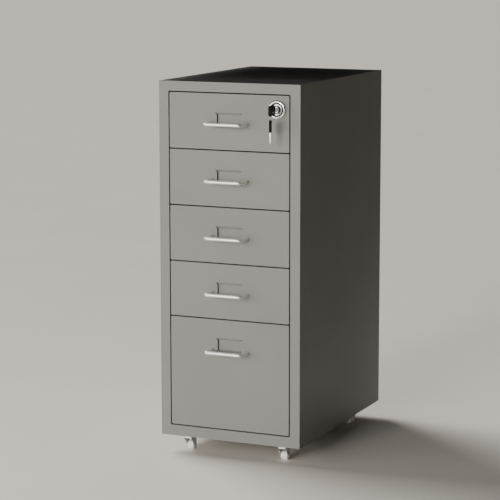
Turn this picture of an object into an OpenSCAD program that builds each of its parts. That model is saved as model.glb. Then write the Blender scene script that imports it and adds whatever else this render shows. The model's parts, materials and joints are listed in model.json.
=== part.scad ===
// Narrow steel drawer cabinet with four shallow drawers, one deep drawer, a cam lock and swivel castors.
// Millimetres. The origin is on the floor under the middle of the cabinet and its handles and key.
// +Z is up, +X is to the right of someone who faces the drawers, and -Y is towards them.

/* [Case] */
// Width of the case
case_w = 280; // [260:1:340]
// Depth of the case, from its front face to its back face
case_d = 415; // [400:1:520]
// Height of the case, without the castors
case_h = 664; // [620:1:740]
// Thickness of the sheet steel
sheet = 1; // [0.8:0.1:1.2]
// How far the folded edges of the rails and of the drawer fronts run back
fold_depth = 12; // [9:0.5:14]
// Width of the flange that holds the back panel
rear_flange = 15; // [12:1:20]
// Height of the tabs that join the top and bottom panels to the sides
joint_tab = 12; // [8:1:14]

/* [Front frame] */
// Width of the side rails
side_rail = 19; // [16:1:26]
// Height of the rail over the drawers
top_rail = 18; // [16:1:26]
// Height of the rail under the drawers
bottom_rail = 20; // [16:1:30]
// Radius of the corners of the opening
opening_r = 3; // [1:0.5:5]
// Gap round each drawer front
gap = 2.4; // [1.5:0.1:3]

/* [Drawers] */
// Height of each of the four shallow fronts; the deep one takes what is left
shallow_h = 101.6; // [92:0.2:108]
// Radius of the corners of a front
front_r = 2; // [1.5:0.5:4]
// Height of a tray's floor over the lower edge of its front
tray_rise = 6; // [4:1:10]
// Depth of a tray's upper edge under the upper edge of its front
tray_drop = 13; // [12:1:18]
// Room behind a tray when its drawer is shut
tray_room = 27; // [15:1:60]
// Width of the lips on which a tray slides
lip_w = 4; // [3.5:0.1:6]
// How far a drawer slides out before its stops meet
travel = 300; // [200:1:320]
// Width and height of the tabs that hold a tray to its front
tray_tab = [12, 32];

/* [Label pocket] */
// Length of the pocket's upper and lower creases
pocket_w = 56; // [44:1:58]
// Depth of the upper crease under the upper edge of the front
pocket_drop = 34; // [30:1:37]
// Height from the lower crease to the upper one
pocket_h = 27; // [20:1:29]
// How far the plate of the pocket is pressed in
pocket_sink = 4; // [2.5:0.1:5]
// Height of the sloping bands between the creases and the plate
pocket_slope = 4.5; // [2.5:0.1:5]
// How much narrower the plate is than the creases, on each side
pocket_flare = 4.5; // [3:0.1:6]

/* [Handles] */
// Distance between the legs of a handle
handle_span = 70; // [60:1:90]
// Diameter of the wire
handle_wire = 7; // [5:0.5:8]
// Distance from the front to the middle of the bar
handle_reach = 29.5; // [24:0.5:34]
// Depth of a shallow drawer's handle under the upper edge of the front
handle_drop = 53.5; // [50:0.5:60]
// Depth of the deep drawer's handle under the upper edge of the front
deep_handle_drop = 57; // [50:0.5:62]
// Radius of the bends, to the middle of the wire
handle_bend = 5; // [4.5:0.5:10]

/* [Runners] */
// Thickness of the runners' steel
runner_sheet = 1; // [0.8:0.1:1.5]
// Height inside a runner
runner_h = 8; // [6:0.5:10]
// How far a runner reaches under the lip
runner_lap = 3; // [2:0.1:3.2]
// Gap under and beside what slides
glide = 0.3; // [0.2:0.05:0.5]
// How far a stop tab stands out past its lip
stop_out = 4; // [3:0.5:6]
// Length of a stop tab
stop_l = 10; // [6:1:16]

/* [Lock] */
// Distance of the lock from the right edge of the front
lock_side = 23; // [23:1:40]
// Depth of the lock under the upper edge of the front
lock_drop = 25; // [22:1:36]
// Diameter of the bezel
bezel_d = 34; // [32:1:38]
// Height of the bezel in front of the drawer
bezel_h = 5; // [4:0.5:7]
// Diameter of the barrel
barrel_d = 26; // [25:0.5:28]
// Diameter of the plug's face
plug_d = 21; // [20:0.5:22]
// Diameter of the plug behind its shoulder
plug_neck_d = 12; // [11:0.5:14]
// Diameter of the ring nut
ring_nut_d = 32; // [30:1:34]
// How far the cam reaches behind the top rail when it is turned up
cam_bite = 8; // [5:0.5:10]
// Width of the cam
cam_w = 14; // [12:1:18]
// Thickness of the cam
cam_t = 2; // [1.5:0.1:3]

/* [Keys] */
// How far the key in the lock stands out from the front
key_out = 36; // [34:1:42]
// Length of a key's head
head_l = 22; // [19:1:26]
// Width of a key's head
head_w = 19; // [16:1:22]
// Thickness of a key's head
head_t = 4.6; // [4:0.1:5]
// Diameter of the hole in a key's head
key_hole_d = 4.6; // [4.4:0.1:5.5]
// Distance of that hole from the end of the head
key_hole_in = 4.5; // [4:0.1:6]
// Length of a key's blade outside its head
blade_l = 21; // [19:1:26]
// Width of a key's blade
blade_w = 7.5; // [6.5:0.1:8]
// Thickness of a key's blade
blade_t = 2.2; // [1.8:0.1:2.6]
// Diameter of the key ring, to the middle of its wire
ring_d = 18.8; // [15:0.2:22]
// Diameter of the key ring's wire
ring_wire = 1.4; // [1.2:0.1:1.6]
// How far the key ring is turned, seen from above, from facing the front
ring_turn = 12; // [0:1:14]
// How far the spare key is turned, seen from above, from standing square to the front
spare_turn = 22; // [0:1:26]

/* [Castors] */
// Height of the castors, from the floor to the case
castor_h = 33.5; // [30:0.5:36]
// Diameter of the wheels
wheel_d = 17; // [15:0.5:20]
// Width of the wheels
wheel_w = 12.8; // [10:0.2:15]
// Distance of the wheel's axle behind the swivel axis
trail = 11; // [10:0.5:13]
// Thickness of the forks' steel
fork_sheet = 1.2; // [1:0.1:1.5]
// Diameter of the swivel's base
swivel_d = 22; // [19:1:26]
// Diameter of the threaded studs
stud_d = 8; // [6:1:10]
// Diameter of the swivel pins
kingpin_d = 6; // [5:0.5:7]
// Diameter of the axles
axle_d = 4; // [3:0.5:5]
// Distance of the swivel axes from the sides of the case
castor_side = 44; // [30:1:60]
// Distance of the front swivel axes from the front face
castor_front = 29; // [16:1:40]
// Distance of the rear swivel axes from the back face
castor_back = 60; // [16:1:80]
// How far the front castors are turned, from straight back
front_turn = 5; // [-180:1:180]
// How far the rear castors are turned, from straight back
rear_turn = -125; // [-180:1:180]

/* [Screws] */
// Thread diameter of the handle screws
handle_screw_d = 3.4; // [3:0.1:4]
// Head diameter of the handle screws
handle_head_d = 8; // [7:0.5:10]
// Head height of the handle screws
handle_head_h = 2.2; // [1.8:0.1:3]
// Thread diameter of the back panel's screws
panel_screw_d = 3.5; // [3:0.1:4.2]
// Head diameter of the back panel's screws
panel_head_d = 7; // [6:0.5:9]
// Head height of the back panel's screws
panel_head_h = 1.8; // [1.4:0.1:2.4]
// Length of the back panel's screws
panel_screw_l = 8; // [6:1:12]
// Number of screws down each side of the back panel
panel_screws = 4; // [2:1:6]
// Distance of the outer ones from the top and bottom of the case
panel_screw_in = 40; // [25:1:60]

/* [Hidden] */
$fn = 48;

drawers = 5;
running = 0.05;          // radial clearance of what turns on a pin or in a bore
thread_room = 0.1;       // radial room of a screw or nut in its place
cut = 1;                 // how far a cutting shape runs past what it cuts

// Colours, as the photograph shows them
paint = "#8f8c86";
nickel = "#d9d7d2";
chrome = "#c9c8c6";
zinc = "#c2c3c4";
nylon = "#e9e6de";
moulding = "#1b1b1c";
raw_steel = "#a9abab";

// The whole cabinet is centred front to back with what stands out from its front and back
spare_reach = (head_w * cos(spare_turn) + head_t * sin(spare_turn)) / 2;
front_reach = max(handle_reach + handle_wire / 2, key_out, key_out - key_hole_in + spare_reach);
front_y = (front_reach - case_d - panel_head_h) / 2;
back_y = front_y + case_d;
case_z = castor_h;
top_z = case_z + case_h;
side_x = case_w / 2;

// The opening, and the drawer fronts in it, numbered from the top
opening_w = case_w - 2 * side_rail;
opening_h = case_h - top_rail - bottom_rail;
opening_z = case_z + bottom_rail;
front_w = opening_w - 2 * gap;
deep_h = opening_h - (drawers - 1) * (shallow_h + gap) - 2 * gap;
function front_h(k) = k < drawers ? shallow_h : deep_h;
function front_top(k) = opening_z + opening_h - gap - (k - 1) * (shallow_h + gap);
function front_z(k) = front_top(k) - front_h(k);
function handle_z(k) = front_top(k) - (k < drawers ? handle_drop : deep_handle_drop);

// The trays and the runners
tray_y = front_y + sheet;
tray_back = back_y - sheet - tray_room;
tray_x = front_w / 2 - lip_w;
lip_y = front_y + fold_depth + 1;
lip_x = tray_x + lip_w;
function lip_top(k) = front_top(k) - tray_drop;
runner_y = front_y + fold_depth + 2;
point_room = 1;          // between the back panel's screws and the runners
runner_back = back_y - panel_screw_l - point_room;
runner_x = lip_x - runner_lap;
web_x = side_x - sheet;
function runner_z(k) = lip_top(k) - sheet - glide;
stop_y = runner_y + runner_sheet + travel + glide;

// The lock, whose cam turns behind the folded edges
lock_x = front_w / 2 - lock_side;
lock_z = front_top(1) - lock_drop;
barrel_l = fold_depth + 1.5;
shoulder = 6;
cam_y = barrel_l + glide;
cam_l = lock_drop + gap + cam_bite;
square_end = 8;
plug_face = -bezel_h + 0.6;
keyway_l = head_l - key_out + blade_l + 1.5;
cam_screw_d = 4;
cam_screw_l = 4;

// The keys and their ring; the ring hangs in the key's hole and the spare key hangs on the ring
key_hole_y = front_y - key_out + key_hole_in;
ring_slant = max(abs(ring_turn), abs(spare_turn - ring_turn));
wire_run = head_t / 2 / cos(ring_slant);
wire_sag = (ring_d - sqrt(ring_d * ring_d - 4 * wire_run * wire_run)) / 2;
wire_space = key_hole_d / 2 - ring_wire / 2 - glide;
ring_seat = sqrt(wire_space * wire_space - pow(wire_run * sin(ring_slant), 2)) - wire_sag;
ring_top = lock_z - ring_seat;
ring_low = ring_top - ring_d;
spare_hole_z = ring_low - ring_seat;
blade_root = 5;
head_r = 5;
bitting = [1.6, 0.8, 2, 1.2];

// The castors, each drawn with its swivel axis at x = 0, y = 0 and its wheel behind it
base_t = 2;
fork_top_t = 1.5;
fork_top = castor_h - base_t - glide;
fork_in = wheel_w / 2 + 0.4;
fork_x = fork_in + fork_sheet;
fork_nose = 10;
fork_tail = trail + 8;
fork_brow = 7;
fork_lip = 4.7;
axle_boss = 6;
pin_head = 1.5;
nut_h = 5;
nut_af = stud_d * 1.6;
castor_places = [
    [-side_x + castor_side, front_y + castor_front, front_turn],
    [side_x - castor_side, front_y + castor_front, front_turn],
    [-side_x + castor_side, back_y - castor_back, rear_turn],
    [side_x - castor_side, back_y - castor_back, rear_turn]
];
castor_names = ["front_left", "front_right", "rear_left", "rear_right"];

// ---- shapes that are used again ----

// A box from one corner to the opposite one
module block(low, high) {
    translate(low) cube(high - low);
}

// A flat outline in x and z, made a plate that runs back from y
module plate_back(y, t) {
    translate([0, y + t, 0]) rotate([90, 0, 0]) linear_extrude(t) children();
}

// A flat outline in y and z, made a plate that runs right from x
module plate_right(x, t) {
    translate([x, 0, 0]) rotate([90, 0, 90]) linear_extrude(t) children();
}

// A rectangle with round corners
module round_rect(low, size, r) {
    translate(low + [r, 0]) square(size - [2 * r, 0]);
    translate(low + [0, r]) square(size - [0, 2 * r]);
    for (x = [r, size.x - r], z = [r, size.y - r])
        translate(low + [x, z]) circle(r);
}

// The same shape on both sides of the cabinet
module both_sides() {
    children();
    mirror([1, 0, 0]) children();
}

// A pan-head screw whose head stands on z = 0 and whose thread points down
module pan_screw(d, l, head_d, head_h) {
    edge = head_h / 3;
    difference() {
        union() {
            cylinder(d = head_d, h = head_h - edge);
            translate([0, 0, head_h - edge]) cylinder(d1 = head_d, d2 = head_d - 2 * edge, h = edge);
            translate([0, 0, -l]) cylinder(d = d, h = l + head_h / 2);
        }
        for (a = [0, 90])
            rotate(a) translate([-head_d / 4, -head_d / 16, head_h / 2]) cube([head_d / 2, head_d / 8, head_h]);
    }
}

// ---- case ----

// The opening of the front frame
module opening() {
    round_rect([-opening_w / 2, opening_z], [opening_w, opening_h], opening_r);
}

// Where the mitre between two rails crosses the opening's corner
mitre = 1 + opening_r / min(side_rail, top_rail, bottom_rail);
mitre_x = side_x - side_rail * mitre;
mitre_low = case_z + bottom_rail * mitre;
mitre_high = top_z - top_rail * mitre;

// The left rail of the frame
module side_rail_outline() {
    difference() {
        polygon([[-side_x, case_z], [-mitre_x, mitre_low], [-mitre_x, mitre_high], [-side_x, top_z]]);
        opening();
        translate([-side_x - cut, top_z - sheet]) square([side_rail, sheet + cut]);
    }
}

module left_side_panel() {
    color(paint) {
        block([-side_x, front_y, case_z], [-side_x + sheet, back_y, top_z - sheet]);
        plate_back(front_y, sheet) side_rail_outline();
        block([-opening_w / 2 - sheet, front_y, opening_z + opening_r],
              [-opening_w / 2, front_y + fold_depth, opening_z + opening_h - opening_r]);
        difference() {
            block([-side_x, back_y - 2 * sheet, case_z + sheet],
                  [-side_x + sheet + rear_flange, back_y - sheet, top_z - sheet]);
            panel_screw_places() cylinder(d = panel_screw_d + 2 * thread_room, h = 4 * sheet, center = true);
        }
    }
}

module right_side_panel() {
    mirror([1, 0, 0]) left_side_panel();
}

// The tabs that lie inside the side panels, from one height to another
module joint_tabs(low, high) {
    both_sides()
        block([web_x - sheet, runner_y, low], [web_x, runner_back, high]);
}

module top_panel() {
    color(paint) {
        block([-side_x, front_y, top_z - sheet], [side_x, back_y, top_z]);
        plate_back(front_y, sheet) difference() {
            polygon([[-side_x, top_z], [-mitre_x, mitre_high], [mitre_x, mitre_high], [side_x, top_z]]);
            opening();
        }
        block([-opening_w / 2 + opening_r, front_y, opening_z + opening_h],
              [opening_w / 2 - opening_r, front_y + fold_depth, opening_z + opening_h + sheet]);
        joint_tabs(top_z - sheet - joint_tab, top_z - sheet);
    }
}

module bottom_panel() {
    color(paint) {
        difference() {
            block([-web_x, front_y, case_z], [web_x, back_y, case_z + sheet]);
            for (c = castor_places)
                translate([c.x, c.y, case_z - cut])
                    cylinder(d = stud_d + 2 * thread_room, h = sheet + 2 * cut);
        }
        plate_back(front_y, sheet) intersection() {
            difference() {
                polygon([[-side_x, case_z], [-mitre_x, mitre_low], [mitre_x, mitre_low], [side_x, case_z]]);
                opening();
            }
            translate([-web_x, case_z]) square([2 * web_x, case_h]);
        }
        block([-opening_w / 2 + opening_r, front_y, opening_z - sheet],
              [opening_w / 2 - opening_r, front_y + fold_depth, opening_z]);
        joint_tabs(case_z + sheet, case_z + sheet + joint_tab);
    }
}

// The back panel's screws, seen from behind; their heads stand out from the back face
module panel_screw_places() {
    low = case_z + panel_screw_in;
    high = top_z - panel_screw_in;
    for (s = [-1, 1], i = [0 : panel_screws - 1])
        translate([s * (web_x - rear_flange / 2), back_y, low + i * (high - low) / (panel_screws - 1)])
            rotate([-90, 0, 0]) children();
}

module back_panel() {
    color(paint) difference() {
        block([-web_x, back_y - sheet, case_z + sheet], [web_x, back_y, top_z - sheet]);
        panel_screw_places() cylinder(d = panel_screw_d + 2 * thread_room, h = 4 * sheet, center = true);
    }
}

module back_panel_screws() {
    color(zinc) panel_screw_places() pan_screw(panel_screw_d, panel_screw_l, panel_head_d, panel_head_h);
}

// The left runners: C sections, open to the drawers, with a stop plate across the front end
module left_runners() {
    color(raw_steel) for (k = [1 : drawers]) {
        low = runner_z(k);
        high = low + runner_h;
        for (z = [low - runner_sheet, high])
            block([-web_x, runner_y, z], [-runner_x, runner_back, z + runner_sheet]);
        block([-web_x, runner_y, low], [-web_x + runner_sheet, runner_back, high]);
        block([-web_x, runner_y, low], [-lip_x - 5 * glide, runner_y + runner_sheet, high]);
    }
}

module right_runners() {
    mirror([1, 0, 0]) left_runners();
}

// ---- drawers ----

// The outline of the pocket, cut through the front down its sides
module pocket_outline(k) {
    wide = pocket_w / 2;
    narrow = wide - pocket_flare;
    high = front_top(k) - pocket_drop;
    low = high - pocket_h;
    polygon([
        [-wide, high], [wide, high], [narrow, high - pocket_slope], [narrow, low + pocket_slope],
        [wide, low], [-wide, low], [-narrow, low + pocket_slope], [-narrow, high - pocket_slope]
    ]);
}

// The pocket's plate seen from the side: it bends in at one crease and out again at the other
module pocket_profile(k) {
    high = front_top(k) - pocket_drop;
    low = high - pocket_h;
    deep = front_y + pocket_sink;
    polygon([
        [front_y, high], [deep, high - pocket_slope], [deep, low + pocket_slope], [front_y, low],
        [front_y + sheet, low], [deep + sheet, low + pocket_slope],
        [deep + sheet, high - pocket_slope], [front_y + sheet, high]
    ]);
}

module drawer_front(k) {
    low = [-front_w / 2, front_z(k)];
    size = [front_w, front_h(k)];
    color(paint) {
        difference() {
            union() {
                plate_back(front_y, sheet) round_rect(low, size, front_r);
                plate_back(front_y, fold_depth) difference() {
                    round_rect(low, size, front_r);
                    round_rect(low + [sheet, sheet], size - 2 * [sheet, sheet], front_r - sheet + 0.2);
                }
            }
            plate_back(front_y - cut, sheet + 2 * cut) {
                pocket_outline(k);
                for (s = [-1, 1])
                    translate([s * handle_span / 2, handle_z(k)])
                        circle(d = handle_screw_d + 10 * thread_room);
                if (k == 1)
                    translate([lock_x, lock_z]) circle(d = barrel_d + 4 * thread_room);
            }
        }
        intersection() {
            plate_back(front_y, pocket_sink + sheet) pocket_outline(k);
            plate_right(-pocket_w / 2, pocket_w) pocket_profile(k);
        }
    }
}

module drawer_tray(k) {
    low = front_z(k) + tray_rise;
    high = lip_top(k);
    color(raw_steel) {
        block([-tray_x, tray_y, low], [tray_x, tray_back, low + sheet]);
        block([-tray_x, tray_back - sheet, low], [tray_x, tray_back, high]);
        both_sides() {
            block([tray_x - sheet, tray_y, low], [tray_x, tray_back, high]);
            block([tray_x - tray_tab.x, tray_y, low], [tray_x, tray_y + sheet, low + tray_tab.y]);
            block([tray_x - sheet, lip_y, high - sheet], [lip_x, tray_back, high]);
            block([tray_x, stop_y, high - sheet], [lip_x + stop_out, stop_y + stop_l, high]);
        }
    }
}

// One quarter of a bend in the handle's wire
module wire_bend() {
    rotate_extrude(angle = 90) translate([handle_bend, 0]) circle(d = handle_wire);
}

module drawer_handle(k) {
    leg = handle_reach - handle_bend;
    bar = handle_span - 2 * handle_bend;
    color(nickel) translate([0, front_y, handle_z(k)]) difference() {
        union() {
            for (s = [-1, 1])
                translate([s * handle_span / 2, 0, 0]) rotate([90, 0, 0]) cylinder(d = handle_wire, h = leg);
            translate([bar / 2, -leg, 0]) rotate(-90) wire_bend();
            translate([-bar / 2, -leg, 0]) rotate(180) wire_bend();
            translate([-bar / 2, -handle_reach, 0]) rotate([0, 90, 0]) cylinder(d = handle_wire, h = bar);
        }
        for (s = [-1, 1])
            translate([s * handle_span / 2, cut, 0]) rotate([90, 0, 0])
                cylinder(d = handle_screw_d + thread_room, h = leg / 2 + cut);
    }
}

module drawer_handle_screws(k) {
    color(zinc) for (s = [-1, 1])
        translate([s * handle_span / 2, front_y + sheet, handle_z(k)])
            rotate([-90, 0, 0])
                pan_screw(handle_screw_d, handle_reach / 3, handle_head_d, handle_head_h);
}

// ---- lock and keys ----

// Turns what is drawn about z so that it runs back from the lock's place on the front
module at_lock() {
    translate([lock_x, front_y, lock_z]) rotate([-90, 0, 0]) children();
}

module lock_housing() {
    edge = bezel_h / 2;
    r = bezel_d / 2;
    color(chrome) at_lock() rotate_extrude() difference() {
        union() {
            translate([0, -bezel_h]) square([r - edge, bezel_h]);
            translate([0, edge - bezel_h]) square([r, bezel_h - edge]);
            translate([r - edge, edge - bezel_h]) circle(edge);
            square([barrel_d / 2, barrel_l]);
        }
        translate([-r, -bezel_h - cut]) square([r + plug_d / 2 + 1, cut + bezel_h / 3]);
        translate([-r, -bezel_h]) square([r + plug_d / 2 + running, bezel_h + shoulder]);
        translate([-r, 0]) square([r + plug_neck_d / 2 + running, barrel_l + cut]);
    }
}

module lock_ring_nut() {
    color(zinc) at_lock() translate([0, 0, sheet]) difference() {
        cylinder(d = ring_nut_d, h = 3);
        translate([0, 0, -cut]) cylinder(d = barrel_d + 2 * thread_room, h = 3 + 2 * cut);
        for (a = [0, 90])
            rotate(a) translate([-ring_nut_d, -1.5, 2]) cube([2 * ring_nut_d, 3, 3]);
    }
}

module lock_plug() {
    color(chrome) at_lock() difference() {
        union() {
            rotate_extrude() difference() {
                union() {
                    translate([0, plug_face]) square([plug_d / 2, shoulder - plug_face - thread_room]);
                    square([plug_neck_d / 2, cam_y - thread_room]);
                }
                translate([-1, plug_face - cut]) square([1 + plug_d / 4, cut + 1.2]);
            }
            translate([-square_end / 2, -square_end / 2, 0]) cube([square_end, square_end, cam_y + cam_t]);
        }
        translate([-blade_t / 2 - 3 * running, -blade_w / 2 - 3 * running, plug_face - cut])
            cube([blade_t + 6 * running, blade_w + 6 * running, keyway_l - plug_face + cut]);
        translate([0, 0, cam_y + cam_t - cam_screw_l])
            cylinder(d = cam_screw_d + thread_room, h = cam_screw_l + cut);
    }
}

// The cam points down when the lock is open
module lock_cam() {
    color(zinc) at_lock() translate([0, 0, cam_y]) linear_extrude(cam_t) difference() {
        union() {
            circle(d = cam_w + 2);
            translate([-cam_w / 2, 0]) square([cam_w, cam_l - cam_w / 2]);
            translate([0, cam_l - cam_w / 2]) circle(d = cam_w);
        }
        square(square_end + thread_room, center = true);
    }
}

module lock_cam_screw() {
    color(zinc) at_lock() translate([0, 0, cam_y + cam_t])
        pan_screw(cam_screw_d, cam_screw_l - thread_room, 11, 2.4);
}

// A key lies with its ring hole at the origin and its blade along +y, on edge
module key_head_shape() {
    plate_right(-head_t / 2, head_t) difference() {
        round_rect([-key_hole_in, -head_w / 2], [head_l, head_w], head_r);
        circle(d = key_hole_d);
    }
}

module key_blade_shape() {
    start = head_l - key_hole_in - blade_root;
    end = head_l - key_hole_in + blade_l;
    pitch = blade_l / (len(bitting) + 2);
    plate_right(-blade_t / 2, blade_t) difference() {
        translate([start, -blade_w / 2]) square([end - start, blade_w]);
        for (i = [0 : len(bitting) - 1])
            translate([end - (i + 1) * pitch, blade_w / 2])
                polygon([[-pitch / 2, cut], [-pitch / 5, -bitting[i]], [pitch / 5, -bitting[i]], [pitch / 2, cut]]);
        for (s = [-1, 1])
            translate([end, s * blade_w / 2]) polygon([[-2, s], [-2, 0], [0, -2 * s], [cut, -2 * s], [cut, s]]);
    }
}

module in_lock() {
    translate([lock_x, key_hole_y, lock_z]) children();
}

module hanging() {
    translate([lock_x, key_hole_y, spare_hole_z]) rotate([-90, 0, spare_turn]) children();
}

// The moulded head, with the room that the blade's root takes in it
module moulded_head() {
    color(moulding) difference() {
        key_head_shape();
        translate([-blade_t / 2, head_l - key_hole_in - blade_root, -blade_w / 2])
            cube([blade_t, blade_root + cut, blade_w]);
    }
}

module key_head() {
    in_lock() moulded_head();
}

module key_blade() {
    color(nickel) in_lock() key_blade_shape();
}

module key_ring() {
    color(nickel) translate([lock_x, key_hole_y, ring_top - ring_d / 2]) rotate([90, 0, ring_turn])
        rotate_extrude() translate([ring_d / 2, 0]) circle(d = ring_wire);
}

module spare_key_head() {
    hanging() moulded_head();
}

module spare_key_blade() {
    color(nickel) hanging() key_blade_shape();
}

// ---- castors ----

module at_castor(i) {
    translate([castor_places[i].x, castor_places[i].y, 0]) rotate(castor_places[i].z) children();
}

// The fixed part: stud, base and swivel pin
module castor_stem(i) {
    low = fork_top - fork_top_t - glide - pin_head;
    color(zinc) at_castor(i) {
        translate([0, 0, castor_h - base_t]) cylinder(d = swivel_d, h = base_t);
        translate([0, 0, castor_h]) cylinder(d = stud_d, h = sheet + nut_h + 2);
        translate([0, 0, low]) cylinder(d = kingpin_d, h = castor_h - low);
        translate([0, 0, low]) cylinder(d = kingpin_d + 3, h = pin_head);
    }
}

// The fork's cheek: wide at the top, drawn in to the boss round the axle
module cheek_outline() {
    polygon([
        [-fork_nose, fork_top], [fork_tail, fork_top], [trail + axle_boss - 1, wheel_d / 2 - 2],
        [trail - axle_boss + 1, wheel_d / 2 - 2], [-fork_nose, fork_top - fork_brow]
    ]);
}

module castor_fork(i) {
    color(zinc) at_castor(i) difference() {
        union() {
            intersection() {
                plate_right(-fork_x, 2 * fork_x) cheek_outline();
                linear_extrude(castor_h)
                    round_rect([-fork_x, -fork_nose], [2 * fork_x, fork_nose + fork_tail], 3);
            }
            translate([-fork_x, trail, wheel_d / 2]) rotate([0, 90, 0]) cylinder(r = axle_boss, h = 2 * fork_x);
        }
        block([-fork_in, -fork_nose + fork_sheet, -cut], [fork_in, fork_tail + cut, fork_top - fork_top_t]);
        block([-fork_in, -fork_nose - cut, -cut], [fork_in, 0, fork_top - fork_top_t - fork_lip]);
        cylinder(d = kingpin_d + 2 * running, h = castor_h);
        translate([-fork_x - cut, trail, wheel_d / 2]) rotate([0, 90, 0])
            cylinder(d = axle_d + 2 * thread_room, h = 2 * fork_x + 2 * cut);
    }
}

module castor_axle(i) {
    head = 1;
    color(zinc) at_castor(i) translate([0, trail, wheel_d / 2]) rotate([0, 90, 0]) {
        cylinder(d = axle_d, h = 2 * fork_x + 2 * head, center = true);
        for (s = [-1, 1])
            translate([0, 0, s * (fork_x + head / 2)]) cylinder(d = axle_d + 2.8, h = head, center = true);
    }
}

module castor_wheel(i) {
    r = wheel_d / 2;
    edge = 1.5;
    dish = 1;
    color(nylon) at_castor(i) translate([0, trail, r]) rotate([0, 90, 0]) rotate_extrude() difference() {
        union() {
            translate([0, -wheel_w / 2]) square([r - edge, wheel_w]);
            translate([0, edge - wheel_w / 2]) square([r, wheel_w - 2 * edge]);
            for (s = [-1, 1])
                translate([r - edge, s * (wheel_w / 2 - edge)]) circle(edge);
        }
        translate([-r, -wheel_w]) square([r + axle_d / 2 + running, 2 * wheel_w]);
        for (s = [-1, 1])
            translate([axle_d / 2 + 2, s * wheel_w / 2 - dish]) square([r - axle_d / 2 - 4, 2 * dish]);
    }
}

// A nut on each stud, above the bottom panel
module castor_nuts() {
    color(zinc) for (c = castor_places)
        translate([c.x, c.y, case_z + sheet]) difference() {
            cylinder(d = nut_af / cos(30), h = nut_h, $fn = 6);
            translate([0, 0, -cut]) cylinder(d = stud_d + thread_room, h = nut_h + 2 * cut);
        }
}

// ---- what is drawn ----

left_side_panel();
right_side_panel();
top_panel();
bottom_panel();
back_panel();
back_panel_screws();
left_runners();
right_runners();
castor_nuts();

for (k = [1 : drawers]) {
    name = str("drawer_", k, "_");
    drawer_front(k);
    drawer_tray(k);
    drawer_handle(k);
    drawer_handle_screws(k);
}

lock_housing();
lock_ring_nut();
lock_plug();
lock_cam();
lock_cam_screw();
key_head();
key_blade();
key_ring();
spare_key_head();
spare_key_blade();

for (i = [0 : len(castor_places) - 1]) {
    name = castor_names[i];
    castor_stem(i);
    castor_fork(i);
    castor_axle(i);
    castor_wheel(i);
}
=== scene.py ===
"""Narrow steel drawer cabinet on castors: fine shapes, finishes, light and camera.

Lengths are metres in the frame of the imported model: +Z is up, and -Y is towards the person
who opens the drawers. MM turns a size in millimetres into metres.
"""

import json
import math
from types import SimpleNamespace

import bmesh
import bpy
from mathutils import Matrix, Vector

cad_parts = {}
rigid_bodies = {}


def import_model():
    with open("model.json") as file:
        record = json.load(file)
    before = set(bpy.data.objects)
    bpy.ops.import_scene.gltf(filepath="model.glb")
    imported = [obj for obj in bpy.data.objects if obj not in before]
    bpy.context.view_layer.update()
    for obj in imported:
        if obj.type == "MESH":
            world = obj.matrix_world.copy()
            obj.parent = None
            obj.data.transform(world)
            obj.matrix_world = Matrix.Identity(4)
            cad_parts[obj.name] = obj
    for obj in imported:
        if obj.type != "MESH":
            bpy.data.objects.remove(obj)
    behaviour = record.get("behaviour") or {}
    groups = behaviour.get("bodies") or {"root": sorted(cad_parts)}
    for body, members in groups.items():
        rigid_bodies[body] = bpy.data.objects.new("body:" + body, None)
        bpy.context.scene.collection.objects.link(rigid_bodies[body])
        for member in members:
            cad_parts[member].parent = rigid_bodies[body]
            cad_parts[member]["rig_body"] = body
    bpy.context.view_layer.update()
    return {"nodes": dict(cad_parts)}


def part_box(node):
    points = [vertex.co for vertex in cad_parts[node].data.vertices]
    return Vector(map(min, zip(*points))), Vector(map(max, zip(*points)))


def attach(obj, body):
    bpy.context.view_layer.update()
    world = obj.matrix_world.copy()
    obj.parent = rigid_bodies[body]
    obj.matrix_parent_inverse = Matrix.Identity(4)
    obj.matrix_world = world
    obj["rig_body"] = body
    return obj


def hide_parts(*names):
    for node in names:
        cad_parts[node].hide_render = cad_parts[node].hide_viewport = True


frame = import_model()

MM = 0.001
DRAWERS = range(1, 6)
CASTORS = ("front_left", "front_right", "rear_left", "rear_right")

RIGHT = Vector((1, 0, 0))
BACK = Vector((0, 1, 0))
UP = Vector((0, 0, 1))

# ---------------------------------------------------------------- sizes of the fine shapes

# Thickness of the steel sheet, and the outer and inner radius of a fold in it
SHEET = 1.0 * MM
BEND_OUT = 1.3 * MM
BEND_IN = 0.5 * MM
# Faces wider than this many sheets are flats beside a fold, and narrower ones are sheared borders
FLAT_SHEETS = 1.7
# Faces wider than this are shaded flat
FLAT_WIDTH = 3.0 * MM

# Radius of the handle's bends, to the middle of the wire, and the straight part before each of them
HANDLE_BEND = 5.0 * MM
HANDLE_STRAIGHT = 2.0 * MM

# Bezel: outer rounding of its crown, depth at which its straight side begins, rounding at the groove
BEZEL_ROUND = 2.8 * MM
BEZEL_SIDE = 3.0 * MM
BEZEL_LIP = 1.2 * MM
# Behind the drawer's face: radius of the barrel, depth of the plug's shoulder, radius of the plug's neck
BARREL = 13.0 * MM
SHOULDER = 6.0 * MM
NECK = 6.0 * MM
# Play between the plug and the housing
LOCK_FIT = 0.1 * MM
# Groove round the plug: width, depth from the bezel's crown, and the dark ring on its floor that paints the
# groove's shade
GROOVE = 2.2 * MM
GROOVE_DEPTH = 4.0 * MM
GROOVE_FLOOR = 0.3 * MM
# Plug: rounding of its rim's outer and inner edge, bright depth of the rim, thickness of the dark sleeve that
# paints the shade on the groove's inner wall
PLUG_ROUND = 1.4 * MM
PLUG_LIP = 1.0 * MM
RIM_DEPTH = 1.8 * MM
SLEEVE = 0.3 * MM
# Core in the middle of the plug: radius of its recess and its pin, depth of the recess, bore behind it
CORE = 6.9 * MM
CORE_PIN = 5.2 * MM
CORE_DEPTH = 3.6 * MM
CORE_BORE = 4.6 * MM
# Keyway: length, width and radius of its corners
KEYWAY = (8.0 * MM, 2.6 * MM, 0.2 * MM)
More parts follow.
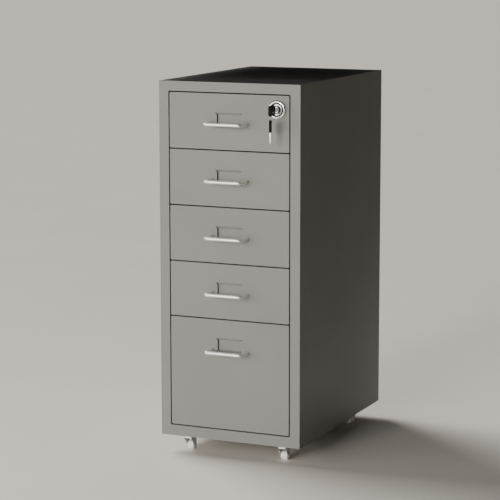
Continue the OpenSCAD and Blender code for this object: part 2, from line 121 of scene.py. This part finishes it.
# Square tail of the plug, which turns the cam: width and rounding
TAIL = 8.0 * MM
TAIL_ROUND = 0.4 * MM

# Key head: radius of its corners and edges; radius of the hole and its distance from the head's end
HEAD_CORNER = 5.0 * MM
HEAD_EDGE = 0.9 * MM
HEAD_HOLE = 2.3 * MM
HEAD_HOLE_IN = 4.5 * MM
# Degrees, seen from above, between the spare key and the front's normal
SPARE_TURN = 22.0

# Split ring: radius of the whole strand, radius of the wire that is wound into it, number of turns
RING_BAND = 0.7 * MM
RING_WIRE = 0.36 * MM
RING_TURNS = 2.0
# Degrees: where the winding starts, and the angle seen from above between the ring's face and the front
RING_START = 100.0
RING_TURN = 12.0

# Wheel: half its width, radius of its bore and its hub, depth and slope of its dished sides
WHEEL_HALF = 6.4 * MM
WHEEL_BORE = 2.05 * MM
WHEEL_HUB = 3.9 * MM
WHEEL_DISH = 1.2 * MM
WHEEL_SLOPE = 0.3 * MM
# Width of the rim beside the dish, rounding of the tread, half width and depth of the groove round it
WHEEL_RIM = 2.0 * MM
WHEEL_ROUND = 1.5 * MM
TREAD_GROOVE = (1.0 * MM, 0.2 * MM)


# ---------------------------------------------------------------- finishes

def linear(colour):
    """A linear RGBA colour from an sRGB one such as '#8f8c86'."""
    channels = [int(colour[i:i + 2], 16) / 255 for i in (1, 3, 5)]
    return tuple(c / 12.92 if c <= 0.04045 else ((c + 0.055) / 1.055) ** 2.4 for c in channels) + (1.0,)


# Most of the noise lies between these two values
NOISE_LOW = 0.3
NOISE_HIGH = 0.7


def add(tree, kind, inputs=None, **settings):
    """Adds one shader node; an input is a plain value or the output socket that feeds it."""
    made = tree.nodes.new(kind)
    for name, value in settings.items():
        setattr(made, name, value)
    for socket, value in (inputs or {}).items():
        if isinstance(value, bpy.types.NodeSocket):
            tree.links.new(value, made.inputs[socket])
        else:
            made.inputs[socket].default_value = value
    return made


def begin(name, **sockets):
    """A new material, with constant values set on its shader's own sockets."""
    material = bpy.data.materials.new(name)
    material.use_nodes = True
    tree = material.node_tree
    shader = tree.nodes["Principled BSDF"]
    for socket, value in sockets.items():
        shader.inputs[socket.replace("_", " ")].default_value = value
    place = add(tree, "ShaderNodeTexCoord").outputs["Object"]
    return material, tree, shader, place


def grain(tree, place, size, detail=2.0, stretch=(1, 1, 1)):
    """Noise whose blotches are about the given size across, in metres."""
    moved = add(tree, "ShaderNodeMapping", {"Vector": place, "Scale": Vector(stretch) / size})
    noise = add(tree, "ShaderNodeTexNoise", {"Vector": moved.outputs[0], "Scale": 1.0, "Detail": detail})
    return noise.outputs["Fac"]


def between(tree, factor, low, high):
    """Carries a noise value to the range from low to high."""
    carried = add(tree, "ShaderNodeMapRange", {"Value": factor, "From Min": NOISE_LOW, "From Max": NOISE_HIGH,
                                               "To Min": low, "To Max": high})
    return carried.outputs[0]


def tint(tree, factor, first, second):
    """A colour between two sRGB colours."""
    ramp = add(tree, "ShaderNodeValToRGB", {"Fac": factor})
    start, end = ramp.color_ramp.elements
    start.position = NOISE_LOW
    end.position = NOISE_HIGH
    start.color = linear(first)
    end.color = linear(second)
    return ramp.outputs["Color"]


def relief(tree, shader, height, depth):
    """Bump of a real depth in metres."""
    bump = add(tree, "ShaderNodeBump", {"Height": height, "Distance": depth, "Strength": 1.0})
    tree.links.new(bump.outputs[0], shader.inputs["Normal"])


def powder_coat():
    """Sprayed and baked polyester powder, satin warm grey: a soft broad sheen over fine orange peel."""
    material, tree, shader, place = begin("powder_coated_steel", Metallic=0.0, IOR=1.5,
                                          Specular_IOR_Level=0.3)
    peel = grain(tree, place, 2.6 * MM)
    cloud = grain(tree, place, 160 * MM)
    tree.links.new(tint(tree, cloud, "#82817e", "#868582"), shader.inputs["Base Color"])
    tree.links.new(between(tree, peel, 0.42, 0.54), shader.inputs["Roughness"])
    relief(tree, shader, peel, 0.035 * MM)
    return material


def nickel_plate():
    """Drawn steel wire, satin nickel plated: long faint drawing lines and a broad warm white shine."""
    material, tree, shader, place = begin("nickel_plated_wire", Metallic=1.0)
    lines = grain(tree, place, 0.8 * MM, stretch=(0.05, 1, 1))
    tree.links.new(tint(tree, lines, "#f4f2ec", "#fbfaf6"), shader.inputs["Base Color"])
    tree.links.new(between(tree, lines, 0.4, 0.48), shader.inputs["Roughness"])
    relief(tree, shader, lines, 0.01 * MM)
    return material


def chrome_plate():
    """Die-cast zinc, polished and chrome plated: mirror bright, with a trace of polishing haze."""
    material, tree, shader, place = begin("chrome_plated_casting", Metallic=1.0)
    haze = grain(tree, place, 3 * MM)
    tree.links.new(tint(tree, haze, "#eceded", "#f6f6f5"), shader.inputs["Base Color"])
    tree.links.new(between(tree, haze, 0.12, 0.2), shader.inputs["Roughness"])
    return material


def zinc_plate():
    """Pressed steel, bright zinc plated: cool grey white, a little cloudy."""
    material, tree, shader, place = begin("zinc_plated_steel", Metallic=1.0)
    cloud = grain(tree, place, 4 * MM, detail=4.0)
    tree.links.new(tint(tree, cloud, "#cdd0d2", "#e2e4e4"), shader.inputs["Base Color"])
    tree.links.new(between(tree, cloud, 0.46, 0.6), shader.inputs["Roughness"])
    relief(tree, shader, cloud, 0.02 * MM)
    return material


def galvanised():
    """Hot-dip galvanised strip: crystals of zinc about 6 mm across, each with its own shade."""
    material, tree, shader, place = begin("galvanised_strip", Metallic=1.0)
    moved = add(tree, "ShaderNodeMapping", {"Vector": place, "Scale": Vector((1, 1, 1)) / (6 * MM)})
    spangle = add(tree, "ShaderNodeTexVoronoi", {"Vector": moved.outputs[0], "Scale": 1.0})
    value = add(tree, "ShaderNodeRGBToBW", {"Color": spangle.outputs["Color"]}).outputs[0]
    tree.links.new(tint(tree, value, "#a9adb0", "#c3c6c8"), shader.inputs["Base Color"])
    tree.links.new(between(tree, value, 0.34, 0.5), shader.inputs["Roughness"])
    return material


def groove_shade_steel():
    """Painted shade: dark grey steel with a dull shine, laid in the bottom of the lock's grooves and recess to
    stand for their shade.
    """
    material, tree, shader, place = begin("painted_groove_shade", Metallic=1.0)
    haze = grain(tree, place, 2 * MM)
    tree.links.new(tint(tree, haze, "#1c1c1d", "#2a2a2b"), shader.inputs["Base Color"])
    tree.links.new(between(tree, haze, 0.4, 0.55), shader.inputs["Roughness"])
    return material


def spring_steel():
    """Hardened spring wire with its grey temper colour left on: dull and darker than the plated parts."""
    material, tree, shader, place = begin("tempered_spring_steel", Metallic=1.0)
    haze = grain(tree, place, 2 * MM)
    tree.links.new(tint(tree, haze, "#77787a", "#8b8c8e"), shader.inputs["Base Color"])
    tree.links.new(between(tree, haze, 0.34, 0.46), shader.inputs["Roughness"])
    return material


def black_moulding():
    """Injection-moulded black ABS with a fine spark-eroded texture."""
    material, tree, shader, place = begin("moulded_black_abs", IOR=1.53, Specular_IOR_Level=0.12)
    erosion = grain(tree, place, 0.6 * MM)
    tree.links.new(tint(tree, erosion, "#050506", "#0a0a0b"), shader.inputs["Base Color"])
    tree.links.new(between(tree, erosion, 0.42, 0.6), shader.inputs["Roughness"])
    relief(tree, shader, erosion, 0.03 * MM)
    return material


def nylon():
    """Moulded nylon, natural white: waxy, slightly see-through, with floor dust rubbed into the tread."""
    material, tree, shader, place = begin("moulded_nylon", IOR=1.53, Subsurface_Weight=0.15,
                                          Subsurface_Scale=4 * MM)
    dust = grain(tree, place, 2 * MM, detail=4.0)
    tree.links.new(tint(tree, dust, "#ebe8e2", "#f8f6f2"), shader.inputs["Base Color"])
    tree.links.new(between(tree, dust, 0.34, 0.5), shader.inputs["Roughness"])
    return material


def pale_floor():
    """A plain, matt, warm pale floor."""
    material, tree, shader, place = begin("pale_floor", Roughness=0.7)
    cloud = grain(tree, place, 300 * MM)
    tree.links.new(tint(tree, cloud, "#f0e9dd", "#f3ede2"), shader.inputs["Base Color"])
    return material


def black_card():
    """Matt black card that keeps light away."""
    return begin("black_card", Base_Color=linear("#101010"), Roughness=0.9)[0]


PAINT = powder_coat()
NICKEL = nickel_plate()
CHROME = chrome_plate()
ZINC = zinc_plate()
STRIP = galvanised()
MOULDING = black_moulding()
NYLON = nylon()
# Dark grey steel that paints the shade in the lock's grooves and recess
GROOVE_SHADE_STEEL = groove_shade_steel()
RING_STEEL = spring_steel()


# ---------------------------------------------------------------- making and placing meshes

def middle(node):
    """Middle of the node's box."""
    low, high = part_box(node)
    return (low + high) / 2


def face_width(face):
    """Mean width of a long face; about the sheet's thickness on a sheared edge."""
    return 2 * face.calc_area() / face.calc_perimeter()


def place_piece(name, shape, node, material, smooth=40.0, flat_over=None):
    """Turns a bmesh into a piece that rides where the node does and stands for it.

    Faces wider than flat_over stay flat, so that only the bends between them are shaded round.
    """
    mesh = bpy.data.meshes.new(name)
    bmesh.ops.recalc_face_normals(shape, faces=shape.faces)
    round_faces = [flat_over is None or face_width(face) < flat_over for face in shape.faces]
    shape.to_mesh(mesh)
    shape.free()
    mesh.materials.append(material)
    mesh.set_sharp_from_angle(angle=math.radians(smooth))
    mesh.polygons.foreach_set("use_smooth", round_faces)
    piece = bpy.data.objects.new(name, mesh)
    bpy.context.scene.collection.objects.link(piece)
    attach(piece, frame["nodes"][node]["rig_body"])
    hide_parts(node)


def ring_mesh(shape, rings, closed=False):
    """Joins rings of points, each with as many points, into one skin that is closed or capped at its ends."""
    made = [[shape.verts.new(point) for point in ring] for ring in rings]
    pairs = list(zip(made, made[1:]))
    if closed:
        pairs.append((made[-1], made[0]))
    for first, second in pairs:
        for i in range(len(first)):
            j = (i + 1) % len(first)
            shape.faces.new((first[i], first[j], second[j], second[i]))
    if not closed:
        shape.faces.new(made[0])
        shape.faces.new(made[-1])


def sweep(shape, path, radius, sides=24):
    """A round wire along a path of points."""
    rings = []
    side = None
    for i, point in enumerate(path):
        ahead = path[min(i + 1, len(path) - 1)] - path[max(i - 1, 0)]
        ahead.normalize()
        if side is None:
            side = ahead.orthogonal().normalized()
        side = (side - ahead * side.dot(ahead)).normalized()
        up = ahead.cross(side)
        turns = (2 * math.pi * n / sides for n in range(sides))
        rings.append([point + radius * (side * math.cos(a) + up * math.sin(a)) for a in turns])
    ring_mesh(shape, rings)


def lathe(shape, profile, at, axis, segments=96):
    """Turns a closed profile of (radius, distance along the axis) points round the axis."""
    side = axis.orthogonal().normalized()
    up = axis.cross(side)
    rings = []
    for n in range(segments):
        a = 2 * math.pi * n / segments
        out = side * math.cos(a) + up * math.sin(a)
        rings.append([at + out * r + axis * d for r, d in profile])
    ring_mesh(shape, rings, closed=True)


def arc(centre, radius, start, end, steps=6):
    """Points of an arc in a profile; the angles are in degrees."""
    spread = (math.radians(start + (end - start) * n / steps) for n in range(steps + 1))
    return [(centre[0] + radius * math.cos(a), centre[1] + radius * math.sin(a)) for a in spread]


# ---------------------------------------------------------------- sheet metal

def soften(shape, edges, radius, steps):
    """Rounds the given edges."""
    if edges:
        bmesh.ops.bevel(shape, geom=edges, offset=radius, segments=steps, profile=0.5,
                        affect="EDGES", clamp_overlap=True)


def creases(shape, convex):
    """Sharp edges where two flats of the sheet meet: the outer side of its folds, or else the inner one."""
    found = []
    for edge in shape.edges:
        if len(edge.link_faces) != 2 or edge.calc_face_angle(0.0) < math.radians(20):
            continue
        is_fold = all(face_width(face) > FLAT_SHEETS * SHEET for face in edge.link_faces)
        if is_fold and edge.is_convex == convex:
            found.append(edge)
    return found


def folded(node, material):
    """The node's sheet metal, with round folds in place of its square ones."""
    shape = bmesh.new()
    shape.from_mesh(frame["nodes"][node].data)
    bmesh.ops.remove_doubles(shape, verts=shape.verts, dist=0.01 * MM)
    bmesh.ops.dissolve_limit(shape, angle_limit=math.radians(1.0), verts=shape.verts, edges=shape.edges)
    soften(shape, creases(shape, convex=True), BEND_OUT, 4)
    soften(shape, creases(shape, convex=False), BEND_IN, 2)
    place_piece(f"{node}_sheet", shape, node, material, smooth=35.0, flat_over=FLAT_WIDTH)


def make_case():
    """The five panels of the case and the strips that carry the drawers."""
    for node in ("left_side_panel", "right_side_panel", "top_panel", "bottom_panel", "back_panel"):
        folded(node, PAINT)
    for node in ("left_runners", "right_runners"):
        folded(node, STRIP)


# ---------------------------------------------------------------- drawers

def make_handle(k):
    """A bow of drawn wire: two legs, two tight bends and a straight bar."""
    node = f"drawer_{k}_handle"
    low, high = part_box(node)
    radius = (high.z - low.z) / 2
    z = (low.z + high.z) / 2
    leg_x = high.x - radius
    bar_y = low.y + radius
    right = [Vector((leg_x, high.y, z)), Vector((leg_x, bar_y + HANDLE_BEND + HANDLE_STRAIGHT, z))]
    corner = (leg_x - HANDLE_BEND, bar_y + HANDLE_BEND)
    right += [Vector((x, y, z)) for x, y in arc(corner, HANDLE_BEND, 0, -90, 10)]
    left = [Vector((-p.x, p.y, p.z)) for p in reversed(right)]
    shape = bmesh.new()
    sweep(shape, right + left, radius, sides=28)
    place_piece(f"drawer_{k}_bow_handle", shape, node, NICKEL)


def make_drawers():
    """The fronts, trays and handles."""
    for k in DRAWERS:
        folded(f"drawer_{k}_front", PAINT)
        folded(f"drawer_{k}_tray", PAINT)
        make_handle(k)


# ---------------------------------------------------------------- lock and keys

def lock_places():
    """Radii and depths of the lock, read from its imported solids; a depth runs back from the drawer's face."""
    low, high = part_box("lock_housing")
    plug_low, plug_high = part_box("lock_plug")
    face_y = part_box("drawer_1_front")[0].y
    centre = middle("lock_housing")
    rim = (high.x - low.x) / 2
    plug = (plug_high.x - plug_low.x) / 2
    return SimpleNamespace(origin=Vector((centre.x, face_y, centre.z)), rim=rim, plug=plug,
                           crown=low.y - face_y, end=high.y - face_y,
                           plug_face=plug_low.y - face_y, plug_end=plug_high.y - face_y)


def make_bezel(lock):
    """The domed bezel with the threaded barrel behind it, and a dark ring on the floor of the groove round the
    plug that paints the groove's shade.
    """
    groove = lock.plug + GROOVE
    bore = lock.plug + LOCK_FIT / 2
    floor_at = lock.crown + GROOVE_DEPTH
    shape = bmesh.new()
    profile = [(lock.rim, 0.0), (lock.rim, lock.crown + BEZEL_SIDE)]
    profile += arc((lock.rim - BEZEL_ROUND, lock.crown + BEZEL_ROUND), BEZEL_ROUND, 0, -90, 8)
    profile += arc((groove + BEZEL_LIP, lock.crown + BEZEL_LIP), BEZEL_LIP, -90, -180, 6)
    profile += [(groove, floor_at), (bore, floor_at), (bore, SHOULDER), (NECK + LOCK_FIT, SHOULDER)]
    profile += [(NECK + LOCK_FIT, lock.end), (BARREL, lock.end), (BARREL, 0.0)]
    lathe(shape, profile, lock.origin, BACK)
    place_piece("lock_bezel", shape, "lock_housing", CHROME, smooth=50.0)

    outer = groove - LOCK_FIT
    inner = bore + LOCK_FIT
    shape = bmesh.new()
    lathe(shape, [(outer, floor_at), (outer, floor_at - GROOVE_FLOOR), (inner, floor_at - GROOVE_FLOOR),
                  (inner, floor_at)], lock.origin, BACK)
    place_piece("lock_groove_floor", shape, "lock_housing", GROOVE_SHADE_STEEL)


def make_plug(lock):
    """The plug's bright rim and neck, in a dark sleeve that paints the shade on the groove's inner wall."""
    sleeve = lock.plug - SLEEVE
    shoulder = SHOULDER - LOCK_FIT
    rim_end = lock.plug_face + RIM_DEPTH
    shape = bmesh.new()
    lathe(shape, [(lock.plug, rim_end), (lock.plug, shoulder), (sleeve, shoulder), (sleeve, rim_end)],
          lock.origin, BACK)
    place_piece("lock_plug_sleeve", shape, "lock_plug", GROOVE_SHADE_STEEL)

    recess = lock.plug_face + CORE_DEPTH
    shape = bmesh.new()
    profile = [(sleeve, shoulder), (sleeve, rim_end), (lock.plug, rim_end)]
    profile += [(lock.plug, lock.plug_face + PLUG_ROUND)]
    profile += arc((lock.plug - PLUG_ROUND, lock.plug_face + PLUG_ROUND), PLUG_ROUND, 0, -90, 6)
    profile += arc((CORE + PLUG_LIP, lock.plug_face + PLUG_LIP), PLUG_LIP, -90, -180, 6)
    profile += [(CORE, recess), (CORE_BORE, recess), (CORE_BORE, lock.end), (NECK, lock.end)]
    profile += [(NECK, shoulder)]
    lathe(shape, profile, lock.origin, BACK)
    place_piece("lock_plug_rim", shape, "lock_plug", CHROME, smooth=50.0)


def make_core(lock):
    """The pin with the keyway: a bright cap on a side painted dark as shade, over the floor of the plug's
    recess, also painted dark as shade.
    """
    circle = [Vector((math.cos(a), math.sin(a))) for a in steps_round(64)]
    keyway = [plate_edge((0, 0), ray, *KEYWAY) for ray in circle]
    # Name, radius, depth of the middle below the plug's face, thickness and finish of each plate
    # The pin's side and the recess floor are dark steel that paints the recess's shade
    plates = (("cap", CORE_PIN, 0.7 * MM, 0.6 * MM, CHROME),
              ("pin", CORE_PIN, 2.2 * MM, 2.4 * MM, GROOVE_SHADE_STEEL),
              ("floor", CORE - LOCK_FIT / 2, 3.5 * MM, 0.2 * MM, GROOVE_SHADE_STEEL))
    for name, radius, depth, thick, material in plates:
        centre = lock.origin + BACK * (lock.plug_face + depth)
        shape = pierced_plate([ray * radius for ray in circle], keyway, centre, UP, RIGHT, thick)
        place_piece(f"lock_core_{name}", shape, "lock_plug", material, smooth=40.0)


def make_tail(lock):
    """The square end of the plug, which carries the cam."""
    length = lock.plug_end - lock.end
    centre = lock.origin + BACK * ((lock.end + lock.plug_end) / 2)
    shape = bmesh.new()
    for corner in bmesh.ops.create_cube(shape, size=1.0)["verts"]:
        corner.co = centre + Vector((corner.co.x * TAIL, corner.co.y * length, corner.co.z * TAIL))
    soften(shape, list(shape.edges), TAIL_ROUND, 2)
    place_piece("lock_plug_square", shape, "lock_plug", CHROME, smooth=40.0)


def make_lock():
    """A domed bezel, a plug with a raised rim and a core with the keyway, parted by two grooves whose shade is
    painted dark.
    """
    lock = lock_places()
    make_bezel(lock)
    make_plug(lock)
    make_core(lock)
    make_tail(lock)


def steps_round(count):
    """Angles that are evenly spaced round a circle."""
    return [2 * math.pi * (n + 0.5) / count for n in range(count)]


def plate_edge(start, ray, length, width, radius):
    """Where a ray leaves a plate with round corners that is centred on the origin."""
    def inside(t):
        x = abs(start[0] + t * ray.x) - (length / 2 - radius)
        y = abs(start[1] + t * ray.y) - (width / 2 - radius)
        return math.hypot(max(x, 0), max(y, 0)) <= radius

    near, far = 0.0, length + width
    for _ in range(40):
        t = (near + far) / 2
        near, far = (t, far) if inside(t) else (near, t)
    return Vector((start[0] + near * ray.x, start[1] + near * ray.y))


def pierced_plate(outer, inner, centre, along, across, thick):
    """A plate between two outlines of as many points each, one inside the other."""
    normal = along.cross(across)
    shape = bmesh.new()
    loops = []
    for side in (-1, 1):
        for ring in (outer, inner):
            loops.append([shape.verts.new(centre + along * p.x + across * p.y + normal * (side * thick / 2))
                          for p in ring])
    for n in range(len(outer)):
        m = (n + 1) % len(outer)
        shape.faces.new((loops[0][n], loops[0][m], loops[1][m], loops[1][n]))
        shape.faces.new((loops[2][m], loops[2][n], loops[3][n], loops[3][m]))
        shape.faces.new((loops[0][m], loops[0][n], loops[2][n], loops[2][m]))
        shape.faces.new((loops[1][n], loops[1][m], loops[3][m], loops[3][n]))
    return shape


def key_head(name, node, along, across):
    """A moulded key head: a plate with round corners, a hole for the ring and softly rounded edges."""
    low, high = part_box("key_head")
    thick, length, width = high - low
    start = (HEAD_HOLE_IN - length / 2, 0)
    rays = [Vector((math.cos(a), math.sin(a))) for a in steps_round(64)]
    outer = [plate_edge(start, ray, length, width, HEAD_CORNER) for ray in rays]
    inner = [Vector((start[0] + HEAD_HOLE * ray.x, HEAD_HOLE * ray.y)) for ray in rays]
    shape = pierced_plate(outer, inner, middle(node), along, across, thick)
    rims = [edge for edge in shape.edges if abs(edge.calc_face_angle(0.0)) > math.radians(60)]
    soften(shape, rims, HEAD_EDGE, 3)
    place_piece(name, shape, node, MOULDING, smooth=40.0)


def make_ring():
    """The split ring: spring wire wound twice, side by side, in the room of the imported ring."""
    low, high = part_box("key_ring")
    centre = (low + high) / 2
    radius = (high.z - low.z) / 2 - RING_BAND
    turn = Matrix.Rotation(math.radians(RING_TURN), 3, "Z")
    steps = 120
    path = []
    for n in range(steps + 1):
        a = 2 * math.pi * RING_TURNS * n / steps + math.radians(RING_START)
        shift = (RING_BAND - RING_WIRE) * (2 * n / steps - 1)
        path.append(centre + turn @ Vector((radius * math.cos(a), shift, radius * math.sin(a))))
    shape = bmesh.new()
    sweep(shape, path, RING_WIRE, sides=12)
    place_piece("split_key_ring", shape, "key_ring", RING_STEEL)


def make_keys():
    """The heads of the key in the lock and of the spare key, and the ring that joins them."""
    key_head("key_in_lock_head", "key_head", BACK, UP)
    spare = Matrix.Rotation(math.radians(SPARE_TURN), 3, "Z")
    key_head("spare_key_head_moulding", "spare_key_head", -UP, spare @ BACK)
    make_ring()


# ---------------------------------------------------------------- castors

def make_castor(name):
    """A pressed fork, and a solid wheel with dished sides and a shallow groove round its tread."""
    folded(f"{name}_fork", ZINC)
    node = f"{name}_wheel"
    low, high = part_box(node)
    r = (high.z - low.z) / 2
    trail = middle(f"{name}_axle") - middle(f"{name}_stem")
    axis = Vector((trail.y, -trail.x, 0)).normalized()
    web = WHEEL_HALF - WHEEL_DISH
    side = [(WHEEL_BORE, -WHEEL_HALF), (WHEEL_HUB, -WHEEL_HALF), (WHEEL_HUB + WHEEL_SLOPE, -web)]
    side += [(r - WHEEL_RIM - WHEEL_SLOPE, -web), (r - WHEEL_RIM, -WHEEL_HALF)]
    side += arc((r - WHEEL_ROUND, WHEEL_ROUND - WHEEL_HALF), WHEEL_ROUND, -90, 0, 6)
    side += [(r, -TREAD_GROOVE[0]), (r - TREAD_GROOVE[1], 0.0)]
    profile = side + [(a, -d) for a, d in reversed(side[:-1])]
    shape = bmesh.new()
    lathe(shape, profile, middle(node), axis, segments=64)
    place_piece(f"{name}_tyre", shape, node, NYLON, smooth=35.0)


# ---------------------------------------------------------------- what keeps its own shape

def dress(node, material, radius=0.2 * MM):
    """Gives a node a finish and slightly rounded edges; its vertices stay where they are."""
    piece = frame["nodes"][node]
    piece.data.materials.clear()
    piece.data.materials.append(material)
    weld = piece.modifiers.new("weld", "WELD")
    weld.merge_threshold = 0.01 * MM
    bevel = piece.modifiers.new("edge", "BEVEL")
    bevel.width = radius
    bevel.segments = 2
    bevel.limit_method = "ANGLE"
    bevel.angle_limit = math.radians(40)


def dress_small_parts():
    """Fasteners, cam, key blades, stems and axles."""
    for node in ("back_panel_screws", "castor_nuts", "lock_ring_nut", "lock_cam", "lock_cam_screw"):
        dress(node, ZINC)
    for k in DRAWERS:
        dress(f"drawer_{k}_handle_screws", ZINC)
    for node in ("key_blade", "spare_key_blade"):
        dress(node, NICKEL, 0.15 * MM)
    for name in CASTORS:
        dress(f"{name}_stem", ZINC)
        dress(f"{name}_axle", ZINC)


# ---------------------------------------------------------------- camera, floor and light

# Place in metres; yaw, downward pitch and roll in degrees; lens and sensor in millimetres
CAMERA_PLACE = Vector((1.4788, -3.4184, 0.9679))
CAMERA_YAW = 23.98
CAMERA_PITCH = 9.20
CAMERA_ROLL = -0.07
CAMERA_LENS = 142.12
CAMERA_SENSOR = 36.0

# Side of the floor in metres, which is so wide that its edge lies past the view
FLOOR_SIZE = 120.0
VIEW_DEPTH = 200.0

# Black card over the top panel: its height over the panel, and how far it reaches past it
SHADE_HEIGHT = 36 * MM
SHADE_LEFT = 36 * MM
SHADE_FRONT = 16 * MM
SHADE_BACK = 14 * MM
# Upright black card beside the cabinet: its height, its depth and its middle, in metres
FLAG_HEIGHT = 1.1
FLAG_DEPTH = 1.8
FLAG_PLACE = Vector((0.65, 0.45, 0.56))

WARM_WHITE = "#fffdfa"
PANEL_WHITE = "#fffdf8"


def make_camera():
    """The camera of the reference view."""
    camera = bpy.data.cameras.new("camera")
    camera.sensor_width = CAMERA_SENSOR
    camera.lens = CAMERA_LENS
    camera.clip_end = VIEW_DEPTH
    holder = bpy.data.objects.new("camera", camera)
    turn = Matrix.Rotation(math.radians(CAMERA_YAW), 4, "Z")
    tilt = Matrix.Rotation(math.radians(90 - CAMERA_PITCH), 4, "X")
    roll = Matrix.Rotation(math.radians(CAMERA_ROLL), 4, "Z")
    holder.matrix_world = Matrix.Translation(CAMERA_PLACE) @ turn @ tilt @ roll
    bpy.context.scene.collection.objects.link(holder)
    bpy.context.scene.camera = holder


def plain_sheet(name, low, high, z, material):
    """A flat level sheet that belongs to the studio and not to the cabinet."""
    mesh = bpy.data.meshes.new(name)
    corners = [(low[0], low[1], z), (high[0], low[1], z), (high[0], high[1], z), (low[0], high[1], z)]
    mesh.from_pydata(corners, [], [(0, 1, 2, 3)])
    mesh.materials.append(material)
    sheet = bpy.data.objects.new(name, mesh)
    bpy.context.scene.collection.objects.link(sheet)
    return sheet


def from_front(azimuth, height, distance=6.0):
    """A place seen from the cabinet: azimuth is degrees to the right of straight ahead, height degrees up."""
    a, h = math.radians(azimuth), math.radians(height)
    return Vector((math.sin(a) * math.cos(h), -math.cos(a) * math.cos(h), math.sin(h))) * distance


def aim(light, at, target=Vector((0, 0, 0.35))):
    """Hangs a light at a place and turns it to a target."""
    holder = bpy.data.objects.new(light.name, light)
    holder.location = at
    holder.rotation_euler = (target - at).to_track_quat("-Z", "Y").to_euler()
    bpy.context.scene.collection.objects.link(holder)
    return holder


def far_light(name, azimuth, height, strength, spread):
    """Even light from far off, such as a broad window or a bounce wall gives."""
    light = bpy.data.lights.new(name, "SUN")
    light.energy = strength
    light.angle = math.radians(spread)
    light.color = linear(WARM_WHITE)[:3]
    aim(light, from_front(azimuth, height))


def near_light(name, at, target, width, height, power):
    """A broad panel of light that fades with distance and isn't seen itself."""
    light = bpy.data.lights.new(name, "AREA")
    light.shape = "RECTANGLE"
    light.size = width
    light.size_y = height
    light.energy = power
    light.color = linear(PANEL_WHITE)[:3]
    aim(light, at, target).visible_camera = False


def make_light():
    """Soft light, low from the front and high from the left, so that the right side stays in shade."""
    far_light("front_light", azimuth=-6.0, height=14.0, strength=2.05, spread=22.0)
    near_light("low_panel", Vector((-1.15, -1.75, 0.66)), Vector((0, 0, 0.5)),
               width=2.0, height=0.86, power=18.0)
    far_light("window_light", azimuth=-108.0, height=42.0, strength=3.2, spread=40.0)

    world = bpy.data.worlds.new("room")
    world.use_nodes = True
    background = world.node_tree.nodes["Background"]
    background.inputs["Color"].default_value = linear("#e4e6ea")
    background.inputs["Strength"].default_value = 0.06
    bpy.context.scene.world = world


def make_studio():
    """The floor, and two black cards that keep the light from the cabinet's top and its right side."""
    half = FLOOR_SIZE / 2
    plain_sheet("floor", (-half, -half), (half, half), 0.0, pale_floor())
    card = black_card()
    low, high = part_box("top_panel")
    shade = plain_sheet("top_shade", (low.x - SHADE_LEFT, low.y - SHADE_FRONT), (high.x, high.y + SHADE_BACK),
                        high.z + SHADE_HEIGHT, card)
    shade.visible_camera = False
    across, along = FLAG_HEIGHT / 2, FLAG_DEPTH / 2
    flag = plain_sheet("side_flag", (-across, -along), (across, along), 0.0, card)
    flag.rotation_euler = (0, math.radians(90), 0)
    flag.location = FLAG_PLACE
    flag.visible_camera = False


# ---------------------------------------------------------------- the whole scene

make_camera()
make_studio()
make_light()
make_case()
make_drawers()
make_lock()
make_keys()
for castor in CASTORS:
    make_castor(castor)
dress_small_parts()
